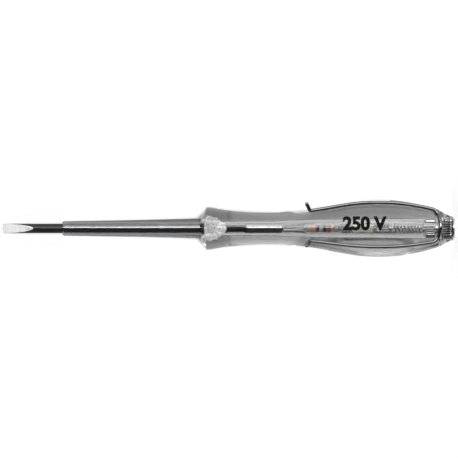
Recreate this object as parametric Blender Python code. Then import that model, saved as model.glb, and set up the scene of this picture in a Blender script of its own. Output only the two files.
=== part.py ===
# A voltage tester in the form of a small screwdriver, modelled at its real size.
# The tool's axis is the X axis, with the blade's tip at the origin and the touch contact at +X.
# It lies with one ground face of the blade and the open side of its clip facing up, along +Z.

import math

import bmesh
import bpy
from mathutils import Vector

mm = 0.001

# Fits between pieces
fit_gap = 0.3 * mm
lamp_gap = 0.15 * mm
cut_overrun = 2.0 * mm
weld_reach = 0.001 * mm

# Blade and its rod
shaft_radius = 1.5 * mm
shaft_length = 87.0 * mm
tip_thickness = 0.5 * mm
ground_length = 9.5 * mm
shaft_end_chamfer = 0.3 * mm
shaft_seat = 25.6 * mm
wing_depth = 8.2 * mm
wing_length = 5.2 * mm
wing_ramp = 0.7 * mm
wing_half_width = 1.1 * mm
wing_half_height = 1.85 * mm

# Insulating sleeve
bare_length = 18.6 * mm
sleeve_front_radius = 2.28 * mm
sleeve_middle_radius = 2.69 * mm
sleeve_rear_radius = 3.19 * mm
sleeve_middle_share = 0.55
sleeve_edge_round = 0.45 * mm
spigot_length = 5.0 * mm
spigot_radius = 2.5 * mm

# Handle, from the collar to the end cone
collar_cone_length = 1.7 * mm
collar_land = 1.5 * mm
collar_radius = 6.65 * mm
collar_flat_height = 5.32 * mm
taper_length = 16.9 * mm
waist_length = 4.0 * mm
waist_radius = 5.02 * mm
shoulder_length = 3.0 * mm
shoulder_rise = 0.32 * mm
swell_length = 26.7 * mm
belly_land = 2.6 * mm
belly_radius = 8.86 * mm
fall_length = 17.4 * mm
joint_radius = 5.8 * mm
waist_power_share = 2.3
rear_power_share = 1.83

# Bore in the handle, which laps over the end of the rod
bore_lap = 1.3 * mm
bore_radius = 2.05 * mm

# End cone and touch plug
cone_length = 3.65 * mm
cone_front_radius = 5.62 * mm
cone_rear_radius = 3.75 * mm
cone_power_share = 1.15
end_round = 0.5 * mm
head_thickness = 0.85 * mm
head_radius = 3.05 * mm
head_round = 0.35 * mm
head_dish = 0.15 * mm
rear_shank_radius = 2.45 * mm
front_shank_radius = 2.1 * mm
plug_reach = 4.8 * mm
front_shank_length = 3.6 * mm
neck_radius = 1.5 * mm
rear_shank_lead = 0.5 * mm
rib_depth = 0.2 * mm
rib_count = 24
rib_end_chamfer = 0.25 * mm

# Wire clip
wire_radius = 0.575 * mm
clip_centre_angle = math.radians(10.6)
clip_half_spread = math.radians(47.4)
clip_corner_radius = 2.0 * mm
clip_length = 39.4 * mm
hook_bend_radius = 0.9 * mm
hook_angle = math.radians(68.0)
hook_length = 2.6 * mm
bight_lift = 0.1 * mm
slot_front_room = 0.9 * mm
slot_rear_room = 0.6 * mm
slot_side_room = math.radians(6.0)

# Recess of the handle under the clip, with a thumb dip below the free ends
dip_fall = 3.9 * mm
dip_lead = 3.4 * mm
dip_rise = 5.1 * mm
dip_depth = 0.8 * mm
dip_near_side = math.radians(34.0)
dip_far_side = math.radians(76.0)
dip_fade = math.radians(28.0)
recess_depth = 0.25 * mm
recess_step_lead = 1.6 * mm
recess_step_length = 0.8 * mm
recess_margin = math.radians(12.0)
recess_fade = math.radians(16.0)
recess_far_side = math.radians(95.0)

# Glow lamp
front_lead_reach = 6.6 * mm
lamp_length = 11.8 * mm
lamp_radius = 1.7 * mm
lamp_wall = 0.25 * mm
seal_length = 1.1 * mm
electrode_length = 3.4 * mm
electrode_gap = 1.5 * mm
electrode_depth = 5.5 * mm
electrode_radius = 1.3 * mm
electrode_round = 0.4 * mm
lead_radius = 0.25 * mm
front_lead_offset = 0.45 * mm
front_lead_bend = 1.6 * mm

# Resistor and its joint to the lamp
resistor_lead_run = 3.4 * mm
resistor_length = 5.9 * mm
resistor_radius = 1.25 * mm
resistor_round = 0.3 * mm
resistor_cap_length = 0.75 * mm
resistor_cap_radius = 1.3 * mm
ferrule_length = 1.7 * mm
ferrule_wall = 0.25 * mm
disc_thickness = 0.5 * mm
disc_radius = 1.5 * mm

# Contact spring
disc_lead_run = 5.5 * mm
spring_wire_radius = 0.2 * mm
spring_radius = 1.33 * mm
spring_turns = 9
points_per_curl = 10

# Mesh fineness
full_turn = 2.0 * math.pi
handle_sides = 40
round_sides = 32
small_sides = 20
curve_steps = 9
round_steps = 3


def clear_scene():
    for old in list(bpy.data.objects):
        bpy.data.objects.remove(old, do_unlink=True)


def finish(name, colour, roughness, metallic=0.0, alpha=1.0):
    """A plain finish for one sub-part."""
    material = bpy.data.materials.new(name)
    material.use_nodes = True
    shader = material.node_tree.nodes["Principled BSDF"]
    shader.inputs["Base Color"].default_value = (*colour, 1.0)
    shader.inputs["Roughness"].default_value = roughness
    shader.inputs["Metallic"].default_value = metallic
    shader.inputs["Alpha"].default_value = alpha
    return material


def place(name, data, material, origin_x=0.0, parent=None):
    """Adds an object whose shape stays put while its origin goes to a place on the axis."""
    piece = bpy.data.objects.new(name, data)
    bpy.context.scene.collection.objects.link(piece)
    if material:
        data.materials.append(material)
    if parent:
        piece.parent = parent
    else:
        piece.location.x = origin_x
    return piece


def ease(share):
    """Goes from 0 to 1 with a level start and a level end."""
    return 0.5 - 0.5 * math.cos(math.pi * share)


def blend(start, end, share):
    return start + (end - start) * share


def spread(start, end, steps):
    return [blend(start, end, step / steps) for step in range(steps + 1)]


def quarter_round(centre_x, centre_r, radius, start_angle, end_angle):
    """Points of an outline on a round edge, from one angle to another."""
    return [
        (centre_x + radius * math.cos(angle), centre_r + radius * math.sin(angle))
        for angle in spread(start_angle, end_angle, round_steps)
    ]


def turned_mesh(name, outline, sides, closed=False, origin_x=0.0):
    """Spins an outline of (place along the axis, radius) round the axis into one solid."""
    shape = bmesh.new()
    corners = [shape.verts.new((x - origin_x, 0.0, radius)) for x, radius in outline]
    runs = [shape.edges.new(pair) for pair in zip(corners, corners[1:])]
    if closed:
        runs.append(shape.edges.new((corners[-1], corners[0])))
    bmesh.ops.spin(
        shape,
        geom=corners + runs,
        cent=(0.0, 0.0, 0.0),
        axis=(1.0, 0.0, 0.0),
        angle=full_turn,
        steps=sides,
        use_merge=True,
    )
    bmesh.ops.remove_doubles(shape, verts=shape.verts, dist=weld_reach)
    bmesh.ops.recalc_face_normals(shape, faces=shape.faces)
    return shade(name, shape)


def shade(name, shape):
    data = bpy.data.meshes.new(name)
    shape.to_mesh(data)
    shape.free()
    data.shade_smooth()
    data.set_sharp_from_angle(angle=math.radians(32.0))
    return data


def polar(x, angle, radius):
    """A point from its place along the axis, its angle from +Z towards +Y, and its radius."""
    return Vector((x, radius * math.sin(angle), radius * math.cos(angle)))


def wire_curve(name, points, radius, resolution, origin_x=0.0):
    """A round wire through points, with closed ends."""
    route = bpy.data.curves.new(name, "CURVE")
    route.dimensions = "3D"
    route.bevel_depth = radius
    route.bevel_resolution = resolution
    route.use_fill_caps = True
    line = route.splines.new("POLY")
    line.points.add(len(points) - 1)
    for spot, point in zip(line.points, points):
        spot.co = (point[0] - origin_x, point[1], point[2], 1.0)
    return route


def cut(piece, cutter):
    knife = piece.modifiers.new("cut_" + cutter.name, "BOOLEAN")
    knife.operation = "DIFFERENCE"
    knife.solver = "EXACT"
    knife.object = cutter


def make_cutter(name, data, location=(0.0, 0.0, 0.0), rotation=(0.0, 0.0, 0.0)):
    cutter = place(name, data, None)
    cutter.location = location
    cutter.rotation_euler = rotation
    cutter.hide_render = True
    cutter.display_type = "WIRE"
    return cutter


# Places along the axis, each worked out from its neighbour

handle_start = shaft_length - shaft_seat
sleeve_start = bare_length
wing_start = handle_start + wing_depth
collar_edge = handle_start + collar_cone_length
taper_start = collar_edge + collar_land
waist_start = taper_start + taper_length
waist_end = waist_start + waist_length
shoulder_end = waist_end + shoulder_length
belly_start = shoulder_end + swell_length
belly_end = belly_start + belly_land
joint_place = belly_end + fall_length
cone_end = joint_place + cone_length
head_front = cone_end + fit_gap
tool_length = head_front + head_thickness
bore_start = shaft_length - bore_lap
lamp_start = shaft_length + front_lead_reach
lamp_end = lamp_start + lamp_length
electrode_place = lamp_start + electrode_depth
resistor_start = lamp_end + resistor_lead_run
resistor_end = resistor_start + resistor_length
spring_start = resistor_end + disc_lead_run
front_shank_start = joint_place - plug_reach
clip_front = joint_place - clip_length
dip_place = clip_front - dip_lead
recess_start = dip_place - dip_fall
recess_step = belly_end + recess_step_lead
bight_radius = joint_radius + bight_lift

# The handle's outer shape


def handle_radius(x):
    """Radius of the turned handle at a place along the axis, before the clip's recess."""
    shoulder_radius = waist_radius + shoulder_rise
    if x <= taper_start:
        return collar_radius
    if x <= waist_start:
        share = (waist_start - x) / (waist_start - taper_start)
        return blend(waist_radius, collar_radius, share ** waist_power_share)
    if x <= waist_end:
        return waist_radius
    if x <= shoulder_end:
        return waist_radius + shoulder_rise * ease((x - waist_end) / shoulder_length)
    if x <= belly_start:
        return blend(shoulder_radius, belly_radius, ease((x - shoulder_end) / (belly_start - shoulder_end)))
    if x <= belly_end:
        return belly_radius
    share = (x - belly_end) / (joint_place - belly_end)
    return blend(belly_radius, joint_radius, share ** rear_power_share)


def cone_radius(x):
    """Radius of the end cone at a place along the axis."""
    share = (x - joint_place) / (cone_end - joint_place)
    return blend(cone_front_radius, cone_rear_radius, share ** cone_power_share)


def ramp(value, start, length):
    """Goes smoothly from 0 to 1 over a length that begins at a start."""
    return ease(min(max((value - start) / length, 0.0), 1.0))


def recess(x, angle):
    """How far the handle's skin lies below its turned shape, on the side that carries the clip."""
    turn = math.remainder(angle - clip_centre_angle, full_turn)
    near_side = clip_half_spread + recess_margin
    even_side = near_side
    dip_side = dip_near_side
    if turn > 0.0:
        even_side = blend(recess_far_side, near_side, ramp(x, recess_step, recess_step_length))
        dip_side = dip_far_side
    even_window = 1.0 - ramp(abs(turn), even_side, recess_fade)
    dip_window = 1.0 - ramp(abs(turn), dip_side, dip_fade)
    fall = ramp(x, recess_start, dip_fall)
    rise = ramp(x, dip_place, dip_rise)
    even_depth = recess_depth * fall * even_window
    extra_depth = (dip_depth - recess_depth) * fall * (1.0 - rise) * dip_window
    return even_depth + extra_depth


def skin_points(start, end, steps):
    return [(x, handle_radius(x)) for x in spread(start, end, steps)]


def bench_slope():
    """Slope of the line from the collar's flat that just touches the belly, as the tool rests."""
    slopes = [
        (handle_radius(x) - collar_flat_height) / (x - collar_edge)
        for x in spread(waist_end, belly_end, curve_steps * curve_steps)
    ]
    return max(slopes)


# Blade and sleeve


def build_blade_shaft():
    """Steel rod with a slotted tip ground on two faces and wings pressed out inside the handle."""
    ramp = wing_ramp
    wing_end = wing_start + wing_length
    rear = shaft_length
    outline = [
        (0.0, 0.0),
        (0.0, shaft_radius),
        (ground_length, shaft_radius),
        (wing_start - ramp, shaft_radius),
        (wing_start, shaft_radius),
        (wing_end, shaft_radius),
        (wing_end + ramp, shaft_radius),
        (rear - shaft_end_chamfer, shaft_radius),
        (rear, shaft_radius - shaft_end_chamfer),
        (rear, 0.0),
    ]
    data = turned_mesh("blade_shaft", outline, round_sides)
    for corner in data.vertices:
        if wing_start - weld_reach < corner.co.x < wing_end + weld_reach:
            corner.co.y *= wing_half_width / shaft_radius
            corner.co.z *= wing_half_height / shaft_radius
    steel = finish("blackened_steel", (0.05, 0.05, 0.055), 0.3, 1.0)
    shaft = place("blade_shaft", data, steel)
    half_tip = 0.5 * tip_thickness
    grind_angle = math.atan2(shaft_radius - half_tip, ground_length)
    block = 2.0 * ground_length
    for side in (1.0, -1.0):
        wheel = bmesh.new()
        bmesh.ops.create_cube(wheel, size=block)
        bmesh.ops.translate(wheel, verts=wheel.verts, vec=(0.0, 0.0, side * 0.5 * block))
        name = "grinding_block_top" if side > 0.0 else "grinding_block_bottom"
        cutter = make_cutter(name, shade(name, wheel), (0.0, 0.0, side * half_tip), (0.0, -side * grind_angle, 0.0))
        cut(shaft, cutter)
    return shaft


def build_insulating_sleeve():
    """Clear tube over the rod, tapering out to the collar, with a spigot in the handle's mouth."""
    hole = shaft_radius + fit_gap
    shoulder = handle_start - fit_gap
    middle = blend(sleeve_start, shoulder, sleeve_middle_share)
    outline = [(sleeve_start, hole)]
    outline += quarter_round(
        sleeve_start + sleeve_edge_round,
        sleeve_front_radius - sleeve_edge_round,
        sleeve_edge_round,
        math.pi,
        0.5 * math.pi,
    )
    outline += [
        (middle, sleeve_middle_radius),
        (shoulder, sleeve_rear_radius),
        (shoulder, spigot_radius),
        (shoulder + spigot_length, spigot_radius),
        (shoulder + spigot_length, hole),
    ]
    data = turned_mesh("insulating_sleeve", outline, round_sides, closed=True)
    plastic = finish("sleeve_plastic", (0.42, 0.42, 0.43), 0.12, 0.0, 0.5)
    return place("insulating_sleeve", data, plastic)


# Clip


def clip_radius(x):
    """Distance from the axis to the wire's centre where a leg lies along the handle."""
    least_recess = recess(x, clip_centre_angle - clip_half_spread)
    return handle_radius(x) - least_recess + fit_gap + wire_radius


def clip_route(side):
    """Half of the clip, from the middle of its crossing to the free end, as (x, angle, radius)."""
    reach = bight_radius * clip_half_spread
    corner = clip_corner_radius
    straight = reach - corner
    points = [(joint_place, side * along / bight_radius, bight_radius) for along in spread(0.0, straight, round_steps)]
    for turn in spread(0.0, 0.5 * math.pi, 2 * round_steps)[1:]:
        x = joint_place - corner * (1.0 - math.cos(turn))
        along = straight + corner * math.sin(turn)
        rise = ease(turn / (0.5 * math.pi))
        points.append((x, side * along / bight_radius, blend(bight_radius, clip_radius(x), rise)))
    leg_rear = joint_place - corner
    for x in spread(leg_rear, clip_front, 2 * curve_steps)[1:]:
        points.append((x, side * clip_half_spread, clip_radius(x)))
    leg_radius = clip_radius(clip_front)
    for turn in spread(0.0, hook_angle, round_steps + 1)[1:]:
        x = clip_front - hook_bend_radius * math.sin(turn)
        lift = hook_bend_radius * (1.0 - math.cos(turn))
        points.append((x, side * clip_half_spread, leg_radius + lift))
    x, angle, radius = points[-1]
    end_x = x - hook_length * math.cos(hook_angle)
    points.append((end_x, angle, radius + hook_length * math.sin(hook_angle)))
    return points


def clip_points():
    half = clip_route(1.0)
    other = clip_route(-1.0)
    whole = list(reversed(other)) + half[1:]
    return [polar(x, clip_centre_angle + angle, radius) for x, angle, radius in whole]


def clip_pivot_place():
    """The crossing's middle, where the legs' flex is taken as a hinge."""
    return polar(joint_place, clip_centre_angle, bight_radius)


def build_wire_clip():
    """Spring wire bent to a U that hugs the handle, with its free ends turned outwards."""
    pivot = clip_pivot_place()
    points = [point - pivot for point in clip_points()]
    spring_steel = finish("clip_wire", (0.3, 0.3, 0.31), 0.22, 1.0)
    clip = place("wire_clip", wire_curve("wire_clip", points, wire_radius, 2), spring_steel)
    clip.location = pivot
    return clip


def slot_cutter():
    """Slot across the joint of handle and end cone, on the clip's side, for its crossing."""
    floor = bight_radius - wire_radius - fit_gap
    top = bight_radius + cut_overrun
    front = joint_place - wire_radius - slot_front_room
    rear = joint_place + wire_radius + slot_rear_room
    half_angle = clip_half_spread + slot_side_room
    shape = bmesh.new()
    start = clip_centre_angle - half_angle
    corners = [
        shape.verts.new(polar(x, start, radius))
        for x, radius in ((front, floor), (front, top), (rear, top), (rear, floor))
    ]
    face = shape.faces.new(corners)
    bmesh.ops.spin(
        shape,
        geom=[face],
        cent=(0.0, 0.0, 0.0),
        axis=(-1.0, 0.0, 0.0),
        angle=2.0 * half_angle,
        steps=2 * curve_steps,
        use_merge=False,
    )
    bmesh.ops.recalc_face_normals(shape, faces=shape.faces)
    return make_cutter("clip_slot", shade("clip_slot", shape))


def flat_cutters():
    """Two blocks that plane the collar, each in line with the belly so that the tool lies firm."""
    slope = math.atan(bench_slope())
    length = waist_start - handle_start + cut_overrun
    cutters = []
    for side in (1.0, -1.0):
        block = bmesh.new()
        bmesh.ops.create_cube(block, size=1.0)
        size = Vector((length, 4.0 * collar_radius, collar_radius))
        bmesh.ops.scale(block, verts=block.verts, vec=size)
        shift = Vector((0.5 * length - cut_overrun, 0.0, side * 0.5 * collar_radius))
        bmesh.ops.translate(block, verts=block.verts, vec=shift)
        name = "flat_top" if side > 0.0 else "flat_bottom"
        spot = (collar_edge, 0.0, side * collar_flat_height)
        cutters.append(make_cutter(name, shade(name, block), spot, (0.0, -side * slope, 0.0)))
    return cutters


def build_handle_body(slot):
    """Clear turned body: collar, waist and belly outside, mouth, rod hole and bore inside."""
    rod_hole = shaft_radius + fit_gap
    wing_room = wing_half_height + fit_gap
    wing_end = wing_start + wing_length
    mouth = spigot_radius + fit_gap
    mouth_end = handle_start + spigot_length
    rear = joint_place - 0.5 * fit_gap
    shank_room = front_shank_radius + fit_gap
    outline = [(handle_start, mouth), (handle_start, sleeve_rear_radius)]
    outline += [(collar_edge, collar_radius), (taper_start, collar_radius)]
    outline += skin_points(taper_start, waist_start, curve_steps)[1:]
    outline += skin_points(waist_end, shoulder_end, round_steps)
    outline += skin_points(shoulder_end, belly_start, 2 * curve_steps)[1:]
    outline += skin_points(belly_end, recess_step, 1)
    outline += skin_points(recess_step + recess_step_length, rear, curve_steps)
    outline += [
        (rear, shank_room),
        (front_shank_start - fit_gap, shank_room),
        (front_shank_start - fit_gap, bore_radius),
        (bore_start, bore_radius),
        (bore_start, rod_hole),
        (wing_end + wing_ramp, rod_hole),
        (wing_end, wing_room),
        (wing_start, wing_room),
        (wing_start - wing_ramp, rod_hole),
        (mouth_end, rod_hole),
        (mouth_end, mouth),
    ]
    data = turned_mesh("handle_body", outline, handle_sides, closed=True)
    for corner in data.vertices:
        radius = math.hypot(corner.co.y, corner.co.z)
        if radius > handle_radius(corner.co.x) - weld_reach:
            angle = math.atan2(corner.co.y, corner.co.z)
            corner.co = polar(corner.co.x, angle, radius - recess(corner.co.x, angle))
    plastic = finish("handle_plastic", (0.42, 0.42, 0.43), 0.12, 0.0, 0.5)
    handle = place("handle_body", data, plastic)
    for cutter in flat_cutters() + [slot]:
        cut(handle, cutter)
    return handle


# End cone and touch plug


def build_end_cone(slot):
    """Clear end of the handle, pressed on the plug, which closes the slot round the clip."""
    front = joint_place + 0.5 * fit_gap
    hole = rear_shank_radius + fit_gap
    outline = [(front, hole)]
    outline += [(x, cone_radius(x)) for x in spread(front, cone_end - end_round, round_steps + 1)]
    outline += [(cone_end, cone_radius(cone_end - end_round) - end_round), (cone_end, hole)]
    data = turned_mesh("end_cone", outline, handle_sides, closed=True, origin_x=joint_place)
    plastic = finish("cone_plastic", (0.42, 0.42, 0.43), 0.12, 0.0, 0.5)
    cone = place("end_cone", data, plastic, joint_place)
    cut(cone, slot)
    return cone


def build_touch_plug():
    """Nickelled plug: head for the finger, and ribs that bite into the plastic."""
    front_end = front_shank_start + front_shank_length
    rear_start = joint_place + rear_shank_lead
    ribs = [
        (front_shank_start + rib_end_chamfer, front_end - rib_end_chamfer, front_shank_radius),
        (rear_start + rib_end_chamfer, head_front - rib_end_chamfer, rear_shank_radius),
    ]
    chamfered = front_shank_radius - rib_end_chamfer
    outline = [
        (front_shank_start, 0.0),
        (front_shank_start, chamfered),
        (ribs[0][0], front_shank_radius),
        (ribs[0][1], front_shank_radius),
        (front_end, chamfered),
        (front_end, neck_radius),
        (rear_start, neck_radius),
        (rear_start, rear_shank_radius - rib_end_chamfer),
        (ribs[1][0], rear_shank_radius),
        (ribs[1][1], rear_shank_radius),
        (head_front, rear_shank_radius - rib_end_chamfer),
        (head_front, head_radius),
    ]
    rim = tool_length - head_round
    outline += quarter_round(rim, head_radius - head_round, head_round, 0.5 * math.pi, 0.0)
    outline += [(tool_length - head_dish, neck_radius), (tool_length - head_dish, 0.0)]
    data = turned_mesh("touch_plug", outline, 2 * rib_count, origin_x=joint_place)
    half_rib = 0.5 * full_turn / rib_count
    for corner in data.vertices:
        x = corner.co.x + joint_place
        for start, end, radius in ribs:
            if start - weld_reach < x < end + weld_reach:
                step = round(math.atan2(corner.co.y, corner.co.z) / half_rib)
                if step % 2:
                    corner.co.y *= 1.0 - rib_depth / radius
                    corner.co.z *= 1.0 - rib_depth / radius
    nickel = finish("plug_nickel", (0.62, 0.61, 0.59), 0.2, 1.0)
    return place("touch_plug", data, nickel, joint_place)


# Lamp, resistor and spring, from front to back


def rod_outline(start, end, radius, edge):
    """A short round bar with rounded edges."""
    outline = [(start, 0.0)]
    outline += quarter_round(start + edge, radius - edge, edge, math.pi, 0.5 * math.pi)
    outline += quarter_round(end - edge, radius - edge, edge, 0.5 * math.pi, 0.0)
    return outline + [(end, 0.0)]


def tube_outline(start, end, inner, outer):
    return [(start, inner), (start, outer), (end, outer), (end, inner)]


def build_lamp(carrier):
    """Glass tube closed at both ends round the leads, with two facing electrodes."""
    inner = lamp_radius - lamp_wall
    glass = finish("lamp_glass", (0.8, 0.82, 0.8), 0.05, 0.0, 0.35)
    tube = turned_mesh("lamp_glass", tube_outline(lamp_start, lamp_end, inner, lamp_radius), small_sides, True)
    place("lamp_glass", tube, glass, parent=carrier)

    copper = finish("electrode_copper", (0.55, 0.25, 0.18), 0.35, 1.0)
    seal_glass = finish("seal_glass", (0.55, 0.6, 0.55), 0.15, 0.0, 0.6)
    tinned = finish("lead_wire", (0.55, 0.55, 0.56), 0.35, 1.0)
    seal_radius = inner - lamp_gap
    seal_hole = lead_radius + lamp_gap
    front_face = electrode_place - 0.5 * electrode_gap
    rear_face = electrode_place + 0.5 * electrode_gap
    spans = {
        "front": (lamp_start, front_face - electrode_length, front_face),
        "rear": (lamp_end - seal_length, rear_face, rear_face + electrode_length),
    }
    for end, (seal_start, electrode_start, electrode_end) in spans.items():
        seal = tube_outline(seal_start, seal_start + seal_length, seal_hole, seal_radius)
        seal_name = "lamp_" + end + "_seal"
        place(seal_name, turned_mesh(seal_name, seal, small_sides, True), seal_glass, parent=carrier)
        cup = rod_outline(electrode_start, electrode_end, electrode_radius, electrode_round)
        cup_name = "lamp_" + end + "_electrode"
        place(cup_name, turned_mesh(cup_name, cup, small_sides), copper, parent=carrier)

    front = shaft_length + fit_gap
    electrode_front = front_face - electrode_length - lamp_gap
    bend_start = lamp_start - front_lead_bend
    route = [
        (front, -front_lead_offset, 0.0),
        (front + front_lead_bend, -front_lead_offset, 0.0),
        (blend(front + front_lead_bend, bend_start, 0.5), -0.5 * front_lead_offset, 0.0),
        (bend_start, 0.0, 0.0),
        (electrode_front, 0.0, 0.0),
    ]
    lead = wire_curve("lamp_front_lead", route, lead_radius, 2)
    place("lamp_front_lead", lead, tinned, parent=carrier)
    rear_lead_start = rear_face + electrode_length + lamp_gap
    bar = rod_outline(rear_lead_start, joint_middle() - lamp_gap, lead_radius, 0.5 * lead_radius)
    place("lamp_rear_lead", turned_mesh("lamp_rear_lead", bar, small_sides), tinned, parent=carrier)


def joint_middle():
    """Where the lamp's lead and the resistor's lead meet, inside their ferrule."""
    cap_front = resistor_start - lamp_gap - resistor_cap_length
    return 0.5 * (lamp_end + cap_front)


def build_resistor(carrier):
    """Ceramic body between two metal caps with leads, a ferrule ahead and a contact disc behind."""
    tinned = finish("resistor_lead_wire", (0.55, 0.55, 0.56), 0.35, 1.0)
    ceramic = finish("resistor_ceramic", (0.75, 0.68, 0.5), 0.45)
    body = rod_outline(resistor_start, resistor_end, resistor_radius, resistor_round)
    place("resistor_body", turned_mesh("resistor_body", body, small_sides), ceramic, parent=carrier)

    front_cap_end = resistor_start - lamp_gap
    front_cap_start = front_cap_end - resistor_cap_length
    rear_cap_start = resistor_end + lamp_gap
    rear_cap_end = rear_cap_start + resistor_cap_length
    disc_end = spring_start - lamp_gap
    disc_start = disc_end - disc_thickness
    middle = joint_middle()
    bars = {
        "resistor_front_cap": (front_cap_start, front_cap_end, resistor_cap_radius, resistor_round),
        "resistor_rear_cap": (rear_cap_start, rear_cap_end, resistor_cap_radius, resistor_round),
        "resistor_front_lead": (middle + lamp_gap, front_cap_start - lamp_gap, lead_radius, 0.5 * lead_radius),
        "resistor_rear_lead": (rear_cap_end + lamp_gap, disc_start - lamp_gap, lead_radius, 0.5 * lead_radius),
        "spring_contact_disc": (disc_start, disc_end, disc_radius, 0.3 * disc_thickness),
    }
    for name, (start, end, radius, edge) in bars.items():
        outline = rod_outline(start, end, radius, edge)
        place(name, turned_mesh(name, outline, small_sides), tinned, parent=carrier)

    ferrule_inner = lead_radius + lamp_gap
    sleeve = tube_outline(
        middle - 0.5 * ferrule_length, middle + 0.5 * ferrule_length, ferrule_inner, ferrule_inner + ferrule_wall
    )
    brass = finish("ferrule_brass", (0.6, 0.5, 0.3), 0.35, 1.0)
    place("joint_ferrule", turned_mesh("joint_ferrule", sleeve, small_sides, True), brass, parent=carrier)


def spring_points():
    """One open coil, whose two ends run straight along the axis for one wire diameter."""
    straight = 2.0 * spring_wire_radius
    start = spring_start + straight
    end = front_shank_start - fit_gap - straight
    count = spring_turns * points_per_curl
    coil = []
    for step in range(count + 1):
        share = step / count
        coil.append(polar(blend(start, end, share), share * spring_turns * full_turn, spring_radius))
    first = coil[0] - Vector((straight, 0.0, 0.0))
    last = coil[-1] + Vector((straight, 0.0, 0.0))
    return [first] + coil + [last]


def least_gap(points, radius):
    """Smallest clear space between one turn and the next, measured on the route's points."""
    curl = points_per_curl
    apart = [(points[i] - points[i + curl]).length for i in range(1, len(points) - curl - 1)]
    return min(apart) - 2.0 * radius


def build_contact_spring():
    points = spring_points()
    gap = least_gap(points, spring_wire_radius)
    print(f"contact_spring: {spring_turns} curls, least gap to itself {gap / mm:.2f} mm")
    spring_steel = finish("spring_steel", (0.5, 0.5, 0.5), 0.3, 1.0)
    route = wire_curve("contact_spring", points, spring_wire_radius, 1, joint_place)
    return place("contact_spring", route, spring_steel, joint_place)


def build_tool():
    clear_scene()
    build_blade_shaft()
    build_insulating_sleeve()
    slot = slot_cutter()
    build_handle_body(slot)
    build_end_cone(slot)
    build_touch_plug()
    build_wire_clip()
    carrier = bpy.data.objects.new("lamp_stack_axis", None)
    bpy.context.scene.collection.objects.link(carrier)
    build_lamp(carrier)
    build_resistor(carrier)
    build_contact_spring()


build_tool()
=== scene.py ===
# %% [markdown]
# # A voltage tester in the form of a small screwdriver
# The real tool is a steel rod pressed into a clear plastic handle. Behind the rod lie a glow lamp, a
# resistor and a spring, and a metal plug closes the end. A finger on the plug closes the circuit, and the
# lamp glows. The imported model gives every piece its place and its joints. This lesson gives each piece its
# fine surface and its finish. The clear handle could be faked with a see-through paint, but here it is real
# refracting plastic, because the rod and the lamp only look right when light bends round them.

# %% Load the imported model
import math

import bmesh
import bpy
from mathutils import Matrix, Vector


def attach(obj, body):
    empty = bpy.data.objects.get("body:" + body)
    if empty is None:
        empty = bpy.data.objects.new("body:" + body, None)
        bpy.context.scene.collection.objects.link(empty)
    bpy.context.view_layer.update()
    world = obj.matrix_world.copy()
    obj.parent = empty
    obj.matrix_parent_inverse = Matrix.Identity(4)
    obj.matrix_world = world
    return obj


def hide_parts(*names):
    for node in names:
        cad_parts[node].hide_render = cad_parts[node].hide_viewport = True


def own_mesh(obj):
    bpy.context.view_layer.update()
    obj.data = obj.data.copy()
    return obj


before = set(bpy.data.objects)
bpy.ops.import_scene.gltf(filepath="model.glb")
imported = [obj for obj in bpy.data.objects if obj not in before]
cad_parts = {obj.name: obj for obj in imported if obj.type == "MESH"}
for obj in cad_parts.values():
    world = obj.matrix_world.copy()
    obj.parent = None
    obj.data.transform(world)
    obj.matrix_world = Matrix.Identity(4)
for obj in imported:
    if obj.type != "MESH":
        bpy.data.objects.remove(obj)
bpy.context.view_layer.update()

mm = 0.001
print("pieces in the packed model:", len(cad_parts))

# %% [markdown]
# ## Camera
# The photograph was taken from straight above with a long lens, so all lines along the tool stay parallel.
# A perspective camera far away would do nearly the same, but an orthographic one is simpler to set: its
# scale is the width of the picture in metres. The tool's length fills almost the whole picture.


# %% Camera above the tool
def add(name, data):
    """Puts a new object with this data into the scene."""
    made = bpy.data.objects.new(name, data)
    bpy.context.scene.collection.objects.link(made)
    return made


picture_width = 141.75 * mm
picture_centre = (70.13 * mm, -0.17 * mm)
camera_height = 400.0 * mm
lens = bpy.data.cameras.new("camera")
lens.type = "ORTHO"
lens.ortho_scale = picture_width
camera = add("camera", lens)
camera.location = (*picture_centre, camera_height)
bpy.context.scene.camera = camera
bpy.context.scene.view_settings.view_transform = "Standard"
print("picture width in mm:", picture_width / mm)

# %% [markdown]
# ## Shape of the handle
# The handle is a turned shape: a collar for the fingertips, a waist, a belly that fills the palm and a fall
# to the end. It could be drawn as a free curve, but a few lengths and radii joined by smooth eases say the
# same and can be changed one at a time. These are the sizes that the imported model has.

# %% Sizes of the handle
handle_start, collar_edge, collar_end = 61.4 * mm, 63.1 * mm, 64.6 * mm
waist_start, waist_end, shoulder_end = 81.5 * mm, 85.5 * mm, 88.5 * mm
belly_start, belly_end = 115.2 * mm, 117.8 * mm
joint_place, cone_end = 135.2 * mm, 138.85 * mm
mouth_radius, collar_radius, waist_radius = 3.19 * mm, 6.65 * mm, 5.02 * mm
shoulder_rise, belly_radius, joint_radius = 0.32 * mm, 8.86 * mm, 5.8 * mm
cone_front_radius, cone_rear_radius = 5.62 * mm, 3.75 * mm
collar_flat_height, fit_gap, touching = 5.32 * mm, 0.3 * mm, 0.01 * mm


def ease(share):
    """From 0 to 1 with a level start and end."""
    share = min(max(share, 0.0), 1.0)
    return 0.5 - 0.5 * math.cos(math.pi * share)


def between(start, end, share):
    return start + (end - start) * share


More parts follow.
